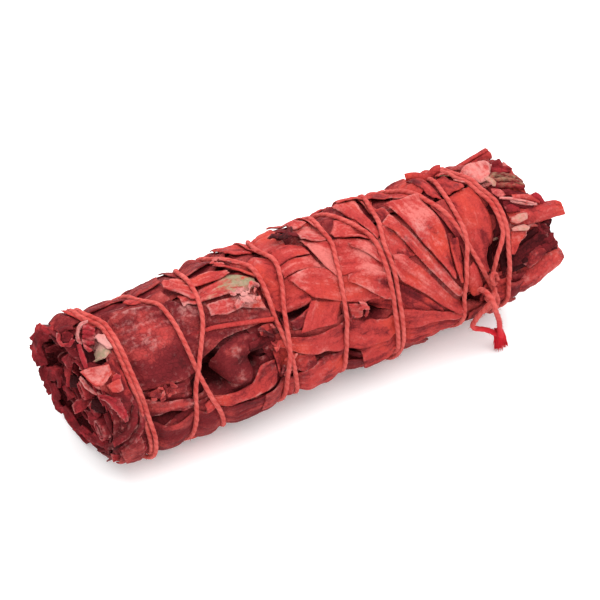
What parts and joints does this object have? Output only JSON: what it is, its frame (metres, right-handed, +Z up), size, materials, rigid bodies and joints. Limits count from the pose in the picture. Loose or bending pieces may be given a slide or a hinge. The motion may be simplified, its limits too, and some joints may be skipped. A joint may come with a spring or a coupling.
{
  "type": "sage smudge stick",
  "caption": "Bundle of dried, red-dyed sage leaves wrapped lengthwise and bound with criss-crossed cotton string, knotted near one end with two short tails.",
  "frame": {"origin": "resting spot under the middle of the bundle, where one turn of the string lies flat on the surface", "axes": "+X along the bundle towards the knotted end, +Z up, the front is at -Y"},
  "size_m": [0.1004, 0.0405, 0.0327],
  "materials": {
    "leaf_dark": "dry matte leaf, dyed maroon, with a pale bloom",
    "leaf_red": "dry matte leaf, dyed coral red",
    "leaf_pale": "dry matte leaf, dyed pale pink",
    "leaf_green": "dry downy leaf, hardly dyed, grey-green",
    "string": "twisted cotton, coral red"
  },
  "bodies": {
    "root": {"inner_leaves": "leaf_red", "under_leaf_01": "leaf_dark", "under_leaf_02": "leaf_dark", "under_leaf_03": "leaf_dark", "under_leaf_04": "leaf_dark", "under_leaf_05": "leaf_dark", "under_leaf_06": "leaf_dark", "under_leaf_07": "leaf_dark", "under_leaf_08": "leaf_dark", "under_leaf_09": "leaf_dark", "under_leaf_10": "leaf_dark", "under_leaf_11": "leaf_dark", "under_leaf_12": "leaf_dark", "under_leaf_13": "leaf_dark", "under_leaf_14": "leaf_dark", "under_leaf_15": "leaf_dark", "back_leaf_01": "leaf_dark", "back_leaf_02": "leaf_red", "back_leaf_03": "leaf_dark", "back_leaf_04": "leaf_red", "back_leaf_05": "leaf_dark", "back_leaf_06": "leaf_red", "back_leaf_07": "leaf_dark", "top_left_leaf": "leaf_dark", "front_dark_leaf": "leaf_dark", "lower_dark_leaf": "leaf_dark", "hollow_leaf": "leaf_dark", "lower_left_leaf": "leaf_dark", "left_band_leaf": "leaf_red", "green_leaf": "leaf_green", "flap_leaf": "leaf_pale", "top_middle_leaf": "leaf_red", "middle_left_leaf": "leaf_red", "middle_leaf": "leaf_red", "middle_low_leaf": "leaf_red", "lower_middle_leaf": "leaf_red", "lower_right_leaf": "leaf_red", "long_leaf": "leaf_red", "middle_right_leaf": "leaf_red", "top_right_leaf": "leaf_red", "wide_leaf": "leaf_red", "folded_leaf_low": "leaf_red", "folded_leaf_high": "leaf_pale", "folded_leaf_right": "leaf_dark", "lobed_leaf": "leaf_pale", "pale_end_leaf": "leaf_pale", "top_end_leaf": "leaf_dark", "pale_tip_leaf": "leaf_pale", "low_end_leaf": "leaf_dark", "red_stalk": "leaf_red", "cut_stalk": "leaf_red", "string_winding": "string", "string_knot": "string"}
  },
  "joints": []
}
